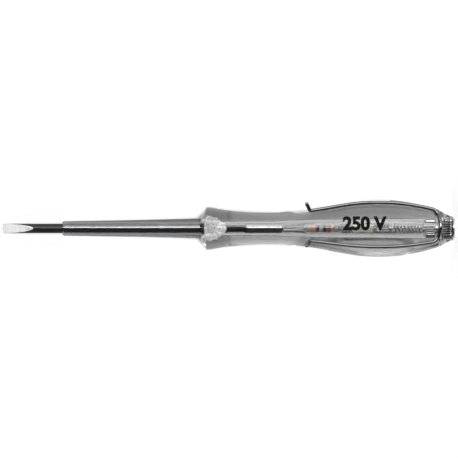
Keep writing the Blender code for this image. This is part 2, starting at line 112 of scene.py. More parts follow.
def handle_radius(x):
    """Radius of the handle's skin at a place along the axis, before the recess."""
    shoulder_radius = waist_radius + shoulder_rise
    if x <= collar_end:
        return collar_radius
    if x <= waist_start:
        share = (waist_start - x) / (waist_start - collar_end)
        return between(waist_radius, collar_radius, share ** 2.3)
    if x <= shoulder_end:
        return waist_radius + shoulder_rise * ease((x - waist_end) / (shoulder_end - waist_end))
    if x <= belly_start:
        return between(shoulder_radius, belly_radius, ease((x - shoulder_end) / (belly_start - shoulder_end)))
    if x <= belly_end:
        return belly_radius
    return between(belly_radius, joint_radius, ((x - belly_end) / (joint_place - belly_end)) ** 1.83)


print("belly width in mm:", 2.0 * belly_radius / mm)

# %% [markdown]
# ## The recess under the clip
# On the side that carries the clip, the handle's skin lies a quarter of a millimetre lower, and in front of
# the belly it dips so that the free ends of the wire clear it. A second body could be cut away, but moving
# the points inwards by a smooth rule gives a soft edge, as a moulding tool does.

# %% Depth of the recess
clip_centre_angle, clip_half_spread = math.radians(10.6), math.radians(47.4)
recess_depth, dip_depth = 0.25 * mm, 0.8 * mm
dip_start, dip_place, dip_end = 88.5 * mm, 92.4 * mm, 97.5 * mm
recess_step, recess_step_end = 119.4 * mm, 120.2 * mm
recess_near_side, recess_far_side = clip_half_spread + math.radians(12.0), math.radians(95.0)
dip_near_side, dip_far_side = math.radians(34.0), math.radians(76.0)
recess_fade, dip_fade = math.radians(16.0), math.radians(28.0)


def recess(x, angle):
    """Depth of the recess at a place along the axis and an angle from +Z towards +Y."""
    turn = math.remainder(angle - clip_centre_angle, 2.0 * math.pi)
    edge, dip_edge = recess_near_side, dip_near_side
    if turn > 0.0:
        step = ease((x - recess_step) / (recess_step_end - recess_step))
        edge, dip_edge = between(recess_far_side, recess_near_side, step), dip_far_side
    even = recess_depth * (1.0 - ease((abs(turn) - edge) / recess_fade))
    dip = (dip_depth - recess_depth) * (1.0 - ease((abs(turn) - dip_edge) / dip_fade))
    dip *= 1.0 - ease((x - dip_place) / (dip_end - dip_place))
    return (even + dip) * ease((x - dip_start) / (dip_place - dip_start))


# %% Slope of the bench, which touches the collar's flat and the belly
places = [between(waist_end, belly_end, step / 200) for step in range(1, 201)]
bench_slope = max((handle_radius(x) - collar_flat_height) / (x - collar_edge) for x in places)
bench_angle = math.atan(bench_slope)
print("bench slope in degrees:", round(math.degrees(bench_angle), 2))

# %% [markdown]
# ## Small helpers for shader nodes
# Every finish below is a small graph of nodes. Each node could be made, set and linked line by line, but a
# few helpers that set plain values and link sockets keep the graphs short enough to read. A noise mostly
# lies between 0.3 and 0.7, so one helper spreads that range over another.


# %% One line for each node
def node(tree, kind, values=None, **settings):
    """Adds a node; a value that is a socket is linked, and anything else is set on the input."""
    made = tree.nodes.new(kind)
    for name, setting in settings.items():
        setattr(made, name, setting)
    for name, value in (values or {}).items():
        if isinstance(value, bpy.types.NodeSocket):
            tree.links.new(value, made.inputs[name])
        else:
            made.inputs[name].default_value = value
    return made


def maths(operation, *terms):
    """A maths node in the tree that its terms come from."""
    tree = next(term.id_data for term in terms if isinstance(term, bpy.types.NodeSocket))
    return node(tree, "ShaderNodeMath", dict(enumerate(terms)), operation=operation).outputs[0]


def fade(value, low, high, to_low=0.0, to_high=1.0, kind="LINEAR"):
    """Maps a value from one range to another, and holds it there."""
    values = {"Value": value, "From Min": low, "From Max": high, "To Min": to_low, "To Max": to_high}
    return node(value.id_data, "ShaderNodeMapRange", values, interpolation_type=kind).outputs[0]


def vary(noise_value, low=0.0, high=1.0):
    return fade(noise_value, 0.3, 0.7, low, high)


def finish(name, roughness, **constants):
    """A Principled material with its plain values set, and its tree and shader."""
    material = bpy.data.materials.new(name)
    material.use_nodes = True
    shader = material.node_tree.nodes["Principled BSDF"]
    for label, value in {"Roughness": roughness, **constants}.items():
        shader.inputs[label.replace("_", " ")].default_value = value
    return material, material.node_tree, shader


# %% [markdown]
# ## Table, sky and lamps
# The tool lies on a white table and touches it with its belly and with the flat of its collar. The table's
# paint makes the background white. It has a little glow, a painted light seen by the camera, by gloss and
# through the plastic, which keeps the table white beside the tool, where part of the sky is hidden. Below the
# tool some of the paint is dark: a painted shadow of the tool, because clear plastic over plain white shows
# no
# shape: its inner surfaces are seen only where they mirror something dark. The painted shadow lies under both
# flanks, in a streak under one side of the belly and, lighter, under the collar. It has soft edges and ends
# below the tool's own outline.

# %% Table
table_size = 4.0
half = 0.5 * table_size
table = bpy.data.meshes.new("table")
corners = [(-half, -half, 0), (half, -half, 0), (half, half, 0), (-half, half, 0)]
table.from_pydata(corners, [], [(0, 1, 2, 3)])
floor = add("table", table)
floor.location = (collar_edge, 0.0, -collar_flat_height)
floor.rotation_euler = (0.0, bench_angle, 0.0)


def seen_clearly(tree):
    """1 for rays from the camera, from gloss and through clear plastic, and 0 for soft light."""
    rays = node(tree, "ShaderNodeLightPath").outputs
    seen = maths("MAXIMUM", rays["Is Camera Ray"], rays["Is Glossy Ray"])
    return maths("MAXIMUM", seen, rays["Is Transmission Ray"])


# %% Paint that is drawn across and along the tool
paint, tree, matt = finish("table_paint", 0.9, Specular_IOR_Level=0.0, Emission_Color=(1.0, 1.0, 1.0, 1.0))
table.materials.append(paint)
tool_length, widest = 140.0, 10.0 * mm
spot = node(tree, "ShaderNodeSeparateXYZ", {0: node(tree, "ShaderNodeTexCoord").outputs["Object"]}).outputs
along = maths("DIVIDE", maths("ADD", spot[0], collar_edge), mm)


def drawn(value, span, points):
    """A level drawn over a value from 0 to a span, as straight lines between points."""
    made = node(tree, "ShaderNodeFloatCurve", {"Value": maths("DIVIDE", value, span)})
    line = made.mapping.curves[0]
    shares = [(place / span, level) for place, level in points]
    line.points[0].location, line.points[1].location = shares[0], shares[-1]
    for share in shares[1:-1]:
        line.points.new(*share)
    for point in line.points:
        point.handle_type = "VECTOR"
    made.mapping.extend = "HORIZONTAL"
    made.mapping.update()
    return made.outputs[0]


def painted_shadow_patch(sideways, span, across, ends):
    """Painted shadow drawn across the tool, and between its ends in millimetres along the tool."""
    return maths("MULTIPLY", drawn(sideways, span, across), drawn(along, tool_length, ends))


# %% Painted shadow under flanks, belly and collar
# Half widths along the tool are shares of the widest. Places across count in half widths from the axis,
# and for the streak in distances of its middle, so that the paint follows the tool's outline.
half_widths = [(0, 0.05), (18, 0.09), (20, 0.2), (60, 0.32), (63, 0.66), (68, 0.59), (84, 0.5), (98, 0.62)]
half_widths += [(116, 0.89), (128, 0.76), (138, 0.4), (140, 0.05)]
half_width = maths("MULTIPLY", drawn(along, tool_length, half_widths), widest)
beside = maths("DIVIDE", maths("ABSOLUTE", spot[1]), half_width)
across = [(0.0, 0.0), (0.24, 0.0), (0.48, 0.9), (0.6, 0.9), (0.96, 0.0), (6.0, 0.0)]
flank_shadow = painted_shadow_patch(beside, 6.0, across, [(0.0, 0.0), (2.8, 1.0), (135.1, 1.0), (137.2, 0.0), (140.0, 0.0)])

streak_middles = [(98, 0.045), (104, 0.08), (108, 0.095), (112, 0.1), (116, 0.097), (120, 0.088)]
streak_middles += [(124, 0.07), (128, 0.04)]
streak_middle = maths("MULTIPLY", drawn(along, tool_length, streak_middles), -widest)
sideways = maths("DIVIDE", spot[1], streak_middle)
across = [(0.0, 0.0), (0.84, 0.0), (0.892, 1.0), (1.112, 1.0), (1.16, 0.0), (4.0, 0.0)]
ends = [(94, 0.0), (98, 0.3), (104, 0.6), (108, 1.0), (122, 1.0), (126, 0.6), (131, 0.0)]
shadow_streak = painted_shadow_patch(sideways, 4.0, across, ends)

across = [(0.0, 1.0), (0.72, 1.0), (0.9, 0.0), (6.0, 0.0)]
collar_shadow = painted_shadow_patch(beside, 6.0, across, [(60, 0.0), (62, 0.55), (69, 0.55), (71, 0.0)])
# dark is the painted shadow of the tool on the table, the strongest of its three parts.
dark = maths("MAXIMUM", maths("MAXIMUM", flank_shadow, shadow_streak), collar_shadow)
# The painted shadow darkens the paint's white.
paper_with_painted_shadow = maths("MULTIPLY_ADD", dark, -0.82, 0.9)
grey = node(tree, "ShaderNodeCombineColor", {0: paper_with_painted_shadow, 1: paper_with_painted_shadow, 2: paper_with_painted_shadow}).outputs[0]
tree.links.new(grey, matt.inputs["Base Color"])

# %% Glow of the white paint, a painted light that is strongest just beside the tool
glow = drawn(beside, 6.0, [(0.0, 0.3), (0.9, 0.3), (1.08, 0.55), (2.4, 0.5), (6.0, 0.3)])
# The painted shadow also takes the glow away below the tool.
glow = maths("MULTIPLY", glow, maths("SUBTRACT", 1.0, dark))
tree.links.new(maths("MULTIPLY", glow, seen_clearly(tree)), matt.inputs["Emission Strength"])
print("nodes in the table's paint:", len(tree.nodes))

# %% [markdown]
# The studio is bright on one side and dark overhead, where the camera hangs, and that is what polished metal
# shows. Matt surfaces get an even soft light instead. Beside the tool hang two long lamps that only gloss and
# clear plastic can see: the narrow one draws the bright line along every round piece, and the wide one beyond
# it lets that line fade out. One big lamp would be simpler, but then steel looks flat.

# %% Sky
sky = bpy.data.worlds.new("studio_sky")
bpy.context.scene.world = sky
sky.use_nodes = True
tree = sky.node_tree
towards = node(tree, "ShaderNodeTexCoord").outputs["Generated"]
direction = node(tree, "ShaderNodeSeparateXYZ", {0: towards}).outputs
horizon = fade(direction[2], 0.03, 0.22, 0.9, 0.0, "SMOOTHSTEP")
bright_side = fade(direction[1], 0.55, 0.95, 0.1, 1.1, "SMOOTHSTEP")
near_bright_side = fade(direction[1], -0.3, 0.3, 0.35, 1.0, "SMOOTHSTEP")
mirrored = maths("MAXIMUM", maths("MULTIPLY", horizon, near_bright_side), bright_side)
even = 0.85
level = maths("MULTIPLY_ADD", seen_clearly(tree), maths("SUBTRACT", mirrored, even), even)
soft = tree.nodes["Background"]
soft.inputs["Color"].default_value = (1.0, 1.0, 1.0, 1.0)
tree.links.new(level, soft.inputs["Strength"])


# %% Long lamps beside the tool
def long_lamp(name, nearer, farther, radiance):
    """A strip along X that fills the angles between two tilts from overhead towards +Y."""
    distance, length = 0.6, 1.2
    angle = math.radians(0.5 * (nearer + farther))
    width = 2.0 * distance * math.tan(math.radians(0.5 * (farther - nearer)))
    strip = bpy.data.lights.new(name, "AREA")
    strip.shape = "RECTANGLE"
    strip.size, strip.size_y = length, width
    strip.energy = radiance * math.pi * length * width
    made = add(name, strip)
    made.location = (picture_centre[0], distance * math.sin(angle), distance * math.cos(angle))
    made.rotation_euler = (-angle, 0.0, 0.0)
    made.visible_camera = made.visible_diffuse = False
    print(f"{name}: {width:.2f} m wide, {strip.energy:.2f} W")


long_lamp("narrow_lamp", 11.0, 30.0, 7.0)
long_lamp("wide_lamp", 30.0, 60.0, 1.7)

# %% [markdown]
# ## Helpers for turned shapes and bent wire
# Nearly every piece of this tool came off a lathe or was bent from wire. So two helpers make most meshes:
# one turns an outline round the axis, and one sweeps a circle along a route. Blender's Screw modifier and
# bevelled curves could do the same, but a mesh made in code can be cut, painted and measured at once. Real
# edges are never razor sharp, so an outline's corners are rounded before it is turned.


# %% Outlines
def rounded(outline, radius, closed):
    """The same outline with each sharp corner drawn as a small arc."""
    points = [Vector(point) for point in outline]
    count, steps = len(points), 3
    soft = []
    for i, corner in enumerate(points):
        back, ahead = points[i - 1] - corner, points[(i + 1) % count] - corner
        turn = math.pi - back.angle(ahead, math.pi)
        if turn < math.radians(12.0) or (not closed and i in (0, count - 1)):
            soft.append(tuple(corner))
            continue
        reach = min(radius * math.tan(0.5 * min(turn, 2.6)), 0.45 * back.length, 0.45 * ahead.length)
        start, end = corner + reach * back.normalized(), corner + reach * ahead.normalized()
        for share in (step / steps for step in range(steps + 1)):
            soft.append(tuple((1 - share) ** 2 * start + 2 * share * (1 - share) * corner + share ** 2 * end))
    return soft


def spread(start, end, pitch):
    """Places from start to end at about a pitch apart."""
    steps = max(1, round(abs(end - start) / pitch))
    return [between(start, end, step / steps) for step in range(steps + 1)]


def run(radius, *stretches):
    """Outline points at a radius, or at a rule's radius, over stretches with a pitch in millimetres."""
    places = []
    for start, end, pitch in stretches:
        places += [x for x in spread(start, end, pitch * mm) if not places or x > places[-1] + touching]
    return [(x, radius(x) if callable(radius) else radius) for x in places]


def stepped(start, points, away=1.0):
    """Outline points in millimetres, counted from a start along the axis, one way or the other."""
    return [(start + away * x * mm, radius * mm) for x, radius in points]


def polar(x, angle, radius):
    """A point from its place along the axis, its angle from +Z towards +Y, and its radius."""
    return Vector((x, radius * math.sin(angle), radius * math.cos(angle)))


# %% Turned shapes
def as_mesh(shape, sharp=30.0):
    """Turns a bmesh into a mesh with smooth faces and crisp edges."""
    bmesh.ops.recalc_face_normals(shape, faces=shape.faces)
    data = bpy.data.meshes.new("shape")
    shape.to_mesh(data)
    shape.free()
    data.shade_smooth()
    data.set_sharp_from_angle(angle=math.radians(sharp))
    return data


def turned(outline, sides, edge=0.0, closed=False):
    """Turns an outline of (place along the axis, radius) round the axis, with its corners rounded."""
    if edge:
        outline = rounded(outline, edge, closed)
    shape = bmesh.new()
    corners = [shape.verts.new((x, 0.0, radius)) for x, radius in outline]
    runs = [shape.edges.new(pair) for pair in zip(corners, corners[1:])]
    if closed:
        runs.append(shape.edges.new((corners[-1], corners[0])))
    spin = {"cent": (0, 0, 0), "axis": (1, 0, 0), "angle": 2.0 * math.pi, "steps": sides, "use_merge": True}
    bmesh.ops.spin(shape, geom=corners + runs, **spin)
    bmesh.ops.remove_doubles(shape, verts=shape.verts, dist=0.0005 * mm)
    return as_mesh(shape)


def reshape(data, rule):
    """Moves points in or out to the radius that a rule gives for a place, an angle and a radius."""
    for corner in data.vertices:
        x, angle = corner.co.x, math.atan2(corner.co.y, corner.co.z)
        radius = math.hypot(corner.co.y, corner.co.z)
        moved = rule(x, angle, radius)
        if moved != radius:
            corner.co = polar(x, angle, moved)


# %% Bent wire
def wire(points, radius, sides):
    """A round wire along a route, with domed ends."""
    route = [Vector(point) for point in points]
    last = len(route) - 1
    heads = [(route[min(i + 1, last)] - route[max(i - 1, 0)]).normalized() for i in range(last + 1)]
    side = heads[0].orthogonal().normalized()
    dome = [math.radians(angle) for angle in (12, 30, 50, 70)]
    tilts = {0: dome, last: dome[::-1]}
    turns = [2.0 * math.pi * step / sides for step in range(sides)]
    shape = bmesh.new()
    loops = []
    for i, (spot, head) in enumerate(zip(route, heads)):
        side = (side - side.dot(head) * head).normalized()
        other = head.cross(side)
        way = -1.0 if i == 0 else 1.0
        for tilt in tilts.get(i, [0.5 * math.pi]):
            size = radius * math.sin(tilt)
            centre = spot if i not in tilts else spot + way * radius * (math.cos(tilt) - 1.0) * head
            ring = [centre + size * (math.cos(t) * side + math.sin(t) * other) for t in turns]
            loops.append([shape.verts.new(point) for point in ring])
    for near, far in zip(loops, loops[1:]):
        for step in range(sides):
            after = (step + 1) % sides
            shape.faces.new((near[step], near[after], far[after], far[step]))
    shape.faces.new(loops[0])
    shape.faces.new(loops[-1])
    return as_mesh(shape, 60.0)


# %% From a mesh to a piece of the tool
def piece(name, data, coat, body, stands_for):
    """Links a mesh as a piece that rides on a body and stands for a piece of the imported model."""
    made = add(name, data)
    data.name = name
    data.materials.append(coat)
    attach(made, body)
    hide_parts(stands_for)
    print(f"{name}: {len(data.polygons)} faces")
    return made


def second_finish(data, coat, chosen):
    """Gives another finish to the faces that a rule chooses by their middle and normal."""
    data.materials.append(coat)
    faces = [face for face in data.polygons if chosen(face.center, face.normal)]
    for face in faces:
        face.material_index = len(data.materials) - 1
    print(f"{coat.name}: {len(faces)} faces")


# %% [markdown]
# ## Shared surface effects
# Moulded plastic, drawn wire and turned metal each leave a pattern of their own, and handling leaves another
# on all of them. Painting these on each material again would let them drift apart. So each pattern is one
# node group with named inputs, and each material sets its own values. All patterns are in the piece's own
# coordinates in metres, so that their size is the real size.


# %% A group with named values
def effect(name, inputs, outputs):
    """A new shader node group with number sockets."""
    tree = bpy.data.node_groups.new(name, "ShaderNodeTree")
    for label, value in inputs.items():
        socket = tree.interface.new_socket(label, in_out="INPUT", socket_type="NodeSocketFloat")
        socket.default_value = value
    for label in outputs:
        tree.interface.new_socket(label, in_out="OUTPUT", socket_type="NodeSocketFloat")
    return tree, tree.nodes.new("NodeGroupInput").outputs, tree.nodes.new("NodeGroupOutput")


def own_place(tree, stretch=(1.0, 1.0, 1.0), turn=(0.0, 0.0, 0.0)):
    """The point in the piece's own coordinates, stretched and turned."""
    spot = node(tree, "ShaderNodeTexCoord").outputs["Object"]
    return node(tree, "ShaderNodeMapping", {"Vector": spot, "Scale": stretch, "Rotation": turn}).outputs[0]


def noise(tree, scale, detail=2.0, rough=0.5, stretch=(1.0, 1.0, 1.0), turn=(0.0, 0.0, 0.0), spot=None):
    spot = spot or own_place(tree, stretch, turn)
    values = {"Vector": spot, "Scale": scale, "Detail": detail, "Roughness": rough}
    return node(tree, "ShaderNodeTexNoise", values).outputs[0]


# %% Flow of the plastic in its mould
flow, given, result = effect("moulding_flow", {"Streaks per Metre": 260.0}, ["Height"])
streaks = noise(flow, given["Streaks per Metre"], 3.0, 0.45, (0.22, 1.0, 1.0))
orange_peel = noise(flow, maths("MULTIPLY", given["Streaks per Metre"], 4.0), 1.0)
flow.links.new(maths("MULTIPLY_ADD", orange_peel, 0.08, streaks), result.inputs["Height"])

# %% Wear from hands and pockets
given = {"Scratches per Metre": 260.0, "Amount": 0.5}
wear, given, result = effect("handling_wear", given, ["Scratches", "Smudges"])
lines = []
for turn, stretch in ((0.35, 0.25), (-0.5, 0.4), (1.2, 0.3)):
    hairs = noise(wear, given["Scratches per Metre"], 1.0, 0.5, (stretch, 1.0, 1.0), (0.0, 0.2, turn))
    hair = maths("SUBTRACT", hairs, 0.5)
    lines.append(fade(maths("ABSOLUTE", hair), 0.0, 0.006, 1.0, 0.0))
patches = fade(noise(wear, 170.0), 0.52, 0.66)
every_line = maths("MAXIMUM", maths("MAXIMUM", lines[0], lines[1]), lines[2])
broken = maths("MULTIPLY", maths("MULTIPLY", every_line, patches), given["Amount"])
wear.links.new(broken, result.inputs["Scratches"])
smear = fade(noise(wear, 110.0, 4.0, 0.6, (1.0, 1.6, 1.6), (0.3, 0.1, 0.6)), 0.42, 0.72)
wear.links.new(maths("MULTIPLY", smear, given["Amount"]), result.inputs["Smudges"])

# %% Grain of drawn metal
grain, given, result = effect("drawn_grain", {"Lines per Metre": 9000.0}, ["Grain"])
lines = noise(grain, given["Lines per Metre"], 2.0, 0.6, (0.02, 1.0, 1.0))
grain.links.new(lines, result.inputs["Grain"])

# %% Rings left by turning
rings, given, result = effect("turning_rings", {"Rings per Metre": 6000.0}, ["Rings"])
spot = node(rings, "ShaderNodeSeparateXYZ", {0: own_place(rings)}).outputs
square = maths("MULTIPLY_ADD", spot[1], spot[1], maths("MULTIPLY", spot[2], spot[2]))
turned_place = node(rings, "ShaderNodeCombineXYZ", {0: spot[0], 1: maths("SQRT", square)}).outputs[0]
rings.links.new(noise(rings, given["Rings per Metre"], 2.0, 0.6, spot=turned_place), result.inputs["Rings"])

# %% Metal rubbed bare along the tool
rub, given, result = effect("rubbed_zone", {"Start": 0.0, "End": 0.01, "Raggedness": 0.3}, ["Rub"])
spot = node(rub, "ShaderNodeSeparateXYZ", {0: own_place(rub)}).outputs[0]
near = fade(spot, given["Start"], given["End"], 1.0, 0.0)
ragged = maths("SUBTRACT", noise(rub, 900.0, 4.0, 0.65, (0.4, 1.0, 1.0)), 0.5)
mixed = maths("MULTIPLY_ADD", ragged, given["Raggedness"], near)
rub.links.new(fade(mixed, 0.35, 0.65), result.inputs["Rub"])

# %% Dust and fine specks
dust, given, result = effect("fine_dust", {"Specks per Metre": 1400.0, "Amount": 0.5}, ["Dust"])
cells = node(dust, "ShaderNodeTexVoronoi", {"Vector": own_place(dust), "Scale": given["Specks per Metre"]})
specks = fade(cells.outputs[0], 0.06, 0.14, 1.0, 0.0)
drift = fade(noise(dust, 240.0, 3.0), 0.5, 0.7)
drift = maths("MULTIPLY", drift, given["Amount"])
dust.links.new(maths("MULTIPLY", specks, drift), result.inputs["Dust"])
print("shared effects:", [tree.name for tree in bpy.data.node_groups])

# %% [markdown]
# ## Finishes
# Every finish ends in the same three things: a colour between two by a mask, a roughness that varies, and a
# height that raises the surface. The renderer lets no soft light through clear plastic, so the lamp's cups,
# the tinned leads and the resistor, which lie inside the handle, glow a little in their own colour.


# %% Colour, roughness and height
def use(tree, group, **values):
    """Places a shared effect with its own values."""
    placed = node(tree, "ShaderNodeGroup", node_tree=group)
    for label, value in values.items():
        placed.inputs[label.replace("_", " ")].default_value = value
    return placed.outputs


def dress(shader, mask, dark, light, rough, height, depth):
    """Links a colour between two, a roughness, and a height of up to a depth in metres."""
    tree = shader.id_data
    dark, light = [(*c, 1.0) if isinstance(c, tuple) else (c, c, c, 1.0) for c in (dark, light)]
    mix = node(tree, "ShaderNodeMix", {"Factor": mask, "A": dark, "B": light}, data_type="RGBA")
    raised = node(tree, "ShaderNodeBump", {"Height": height, "Distance": depth, "Strength": 1.0})
    tree.links.new(mix.outputs["Result"], shader.inputs["Base Color"])
    tree.links.new(rough, shader.inputs["Roughness"])
    tree.links.new(raised.outputs[0], shader.inputs["Normal"])


def own_glow(shader, level):
    """A little glow in the surface's own colour."""
    colour = shader.inputs["Base Color"].links[0].from_socket
    shader.id_data.links.new(colour, shader.inputs["Emission Color"])
    shader.inputs["Emission Strength"].default_value = level


# %% [markdown]
# ## Clear plastics
# Handle, sleeve and end are clear plastic with a smoke-grey tint. Glass with a tint could be an absorbing
# volume, but volumes are slow and noisy, so the tint is on the surface, where light takes it on the way in
# and on the way out. The outer skin is polished and carries scratches and smudges. The bore was left as the
# core pin made it, a little rough. The upper flat of the collar is frosted by a spark-eroded face of the
# mould. The lower one stays polished, because two frosted faces would turn the whole collar milky.

# %% Polished skin
plastic_index = 1.49


def clear_plastic(name, tint, gloss, streaks, flow_depth):
    made, tree, shader = finish(name, gloss, Transmission_Weight=1.0, IOR=plastic_index)
    worn = use(tree, wear, Scratches_per_Metre=300.0, Amount=0.6)
    specks = use(tree, dust, Specks_per_Metre=1500.0, Amount=0.5)["Dust"]
    cover = maths("MAXIMUM", maths("MULTIPLY", worn["Scratches"], 0.6), specks)
    rough = maths("MULTIPLY_ADD", worn["Smudges"], 0.10, gloss)
    rough = maths("MULTIPLY_ADD", cover, 0.35, rough)
    height = maths("MULTIPLY_ADD", cover, -0.1, use(tree, flow, Streaks_per_Metre=streaks)["Height"])
    dress(shader, cover, tint, 0.95, rough, height, flow_depth)
    return made


handle_plastic = clear_plastic("smoke_grey_plastic", (0.40, 0.40, 0.405), 0.03, 260.0, 0.03 * mm)
sleeve_plastic = clear_plastic("sleeve_plastic", (0.22, 0.22, 0.225), 0.04, 420.0, 0.008 * mm)
cone_plastic = clear_plastic("cone_plastic", (0.45, 0.45, 0.455), 0.03, 300.0, 0.03 * mm)

# %% Frosted flat
frosted_plastic, tree, shader = finish("frosted_plastic", 0.13, Transmission_Weight=0.35, IOR=plastic_index)
grit = noise(tree, 2000.0, 2.0, 0.6)
dress(shader, fade(grit, 0.38, 0.62), 0.5, 1.0, vary(grit, 0.01, 0.25), grit, 0.05 * mm)

# %% Wall of the bore
bore_plastic, tree, shader = finish("bore_wall", 0.05, Transmission_Weight=1.0, IOR=plastic_index)
drag = use(tree, grain, Lines_per_Metre=3000.0)["Grain"]
dress(shader, vary(drag), 0.82, 0.97, vary(drag, 0.02, 0.09), drag, 0.004 * mm)
print("clear plastics:", handle_plastic.name, frosted_plastic.name, bore_plastic.name)

# %% [markdown]
# ## Handle
# The handle is one moulding. Outside it has the collar's cone, the waist and the belly; inside it has a mouth
# for the sleeve, a hole for the rod, a bore for the lamp and a hole for the plug, where the plug's ribs have
# pressed their own grooves. All of these lie on one closed outline, which is turned once. Then the grooves
# and the recess move their points in, and cutters plane the two flats and open the slot for the wire's
# crossing. Subdivision could smooth a coarse mesh, but it would soften the flats as well.

# %% Outline of the handle
rod_hole, mouth, mouth_end = 1.53 * mm, 2.53 * mm, 66.4 * mm
bore_widths = stepped(0.0, [(85.7, 1.63), (94.0, 1.93), (110.0, 2.0), (130.1, 2.2)])
bore_start, bore_end = bore_widths[0][0], bore_widths[-1][0]
front_shank, rib_depth, rib_count = 2.1 * mm, 0.2 * mm, 24
shank_room = front_shank + 0.04 * mm
seam = 0.02 * mm
handle_rear = joint_place - seam
handle_sides = 144

outline = [(handle_start, mouth), (handle_start, mouth_radius), (collar_edge, collar_radius)]
to_belly = [(collar_end, waist_start, 0.7), (waist_end, dip_start, 0.4), (dip_start, recess_step, 0.5)]
to_rear = [(recess_step, recess_step_end, 0.13), (recess_step_end, handle_rear, 0.5)]
outline += run(handle_radius, *to_belly, *to_rear)
outline += [(handle_rear, shank_room), (bore_end, shank_room)] + bore_widths[::-1]
outline += [(bore_start, rod_hole), (mouth_end, rod_hole), (mouth_end, mouth)]
handle_mesh = turned(outline, handle_sides, 0.25 * mm, closed=True)


# %% Grooves round the plug and the recess under the clip
def rib_valley(angle):
    """0 on the crest of a rib and 1 between two ribs."""
    return (0.5 - 0.5 * math.cos(rib_count * angle)) ** 0.7


def grooved(x, angle, radius):
    in_plug_hole = x > bore_end - touching and abs(radius - shank_room) < touching
    return radius - rib_depth * rib_valley(angle) if in_plug_hole else radius


def recessed(x, angle, radius):
    on_skin = x > dip_start and radius > handle_radius(x) - 0.1 * mm
    return radius - recess(x, angle) if on_skin else radius


reshape(handle_mesh, grooved)
reshape(handle_mesh, recessed)


# %% Cutters for flats and slot
def cutter(name, shape, location=(0.0, 0.0, 0.0), tilt=0.0):
    made = add(name, as_mesh(shape))
    made.location, made.rotation_euler = location, (0.0, tilt, 0.0)
    return made


def plane_cutters(name, size, ahead, place, height, tilt):
    """Two blocks, above and below, beyond planes at a height over a place, tilted from each other."""
    made = []
    for side in (1.0, -1.0):
        block = bmesh.new()
        bmesh.ops.create_cube(block, size=1.0)
        bmesh.ops.scale(block, verts=block.verts, vec=size)
        bmesh.ops.translate(block, verts=block.verts, vec=(ahead, 0.0, side * 0.5 * size[2]))
        made.append(cutter(name, block, (place, 0.0, side * height), -side * tilt))
    return made


def slot_cutter():
    """An arc-shaped block for the slot in which the clip's crossing lies."""
    front, rear = joint_place - 1.475 * mm, joint_place + 1.175 * mm
    low, high = 5.025 * mm, 8.0 * mm
    half_angle = clip_half_spread + math.radians(6.0)
    shape = bmesh.new()
    rim = [(front, low), (front, high), (rear, high), (rear, low)]
    face = shape.faces.new([shape.verts.new(polar(x, clip_centre_angle - half_angle, r)) for x, r in rim])
    spin = {"cent": (0, 0, 0), "axis": (-1, 0, 0), "angle": 2.0 * half_angle, "steps": 64}
    bmesh.ops.spin(shape, geom=[face], **spin)
    return cutter("slot_cutter", shape)


# %% Cutting
def cut_away(data, cutters):
    """Cuts each cutter out of a mesh, removes the cutters and gives the new mesh."""
    blank = add("blank", data)
    for tool in cutters:
        knife = blank.modifiers.new(tool.name, "BOOLEAN")
        knife.operation, knife.solver, knife.object = "DIFFERENCE", "EXACT", tool
    bpy.context.view_layer.update()
    cut = bpy.data.meshes.new_from_object(blank.evaluated_get(bpy.context.evaluated_depsgraph_get()))
    cut.materials.clear()
    cut.shade_smooth()
    cut.set_sharp_from_angle(angle=math.radians(24.0))
    for used in [blank, *cutters]:
        bpy.data.objects.remove(used)
    return cut


flat_size, flat_ahead = (24.0 * mm, 30.0 * mm, 8.0 * mm), 10.0 * mm
flats = plane_cutters("flat", flat_size, flat_ahead, collar_edge, collar_flat_height, bench_angle)
handle_mesh = cut_away(handle_mesh, flats + [slot_cutter()])


# %% Finishes of the handle
def on_upper_flat(middle, normal):
    height = collar_flat_height + bench_slope * (middle.x - collar_edge)
    return normal.z > 0.99 and abs(middle.z - height) < touching


def in_bore(middle, normal):
    return middle.yz.length < 2.9 * mm and middle.x > handle_start + 0.3 * mm


piece("handle", handle_mesh, handle_plastic, "handle", "handle_body")
second_finish(handle_mesh, bore_plastic, in_bore)
second_finish(handle_mesh, frosted_plastic, on_upper_flat)

# %% [markdown]
# ## Sleeve
# The sleeve insulates the rod up to its last few millimetres. It is a slim tube that gets a little thicker
# towards the collar and ends in a spigot inside the handle's mouth. The rod shows through at its true width,
# because there is a thin layer of air between them, and only a solid clear rod would magnify it.

# %% Turn the sleeve
sleeve_front, sleeve_middle, sleeve_rear = 18.6 * mm, 42.0 * mm, handle_start - fit_gap
spigot_radius, spigot_end = 2.5 * mm, sleeve_rear + 5.0 * mm
outline = [(sleeve_front, rod_hole), (sleeve_front, 1.95 * mm), (19.05 * mm, 2.28 * mm)]
outline += [(sleeve_middle, 2.69 * mm), (sleeve_rear, mouth_radius), (sleeve_rear, spigot_radius)]
outline += [(spigot_end, spigot_radius), (spigot_end, rod_hole)]
sleeve_mesh = turned(outline, 96, 0.3 * mm, closed=True)
piece("sleeve", sleeve_mesh, sleeve_plastic, "handle", "insulating_sleeve")
second_finish(sleeve_mesh, bore_plastic, lambda middle, normal: middle.yz.length < rod_hole + 0.02 * mm)

# %% [markdown]
# ## Blade
# The rod is drawn steel. Its front has a black oxide finish, and its tip is ground flat on two sides, so the
# bare steel shows there as a pale parabola. From the sleeve's front end on the rod is plated and bright.
# Inside the handle two wings, pressed out of the rod and left black, stop it from turning; the plastic was
# moulded round them. A metallic shader would make the oxide too bright, because oxide is not a metal: a dark
# surface with a low gloss is closer. The ground faces are real metal, with lines across from the wheel.

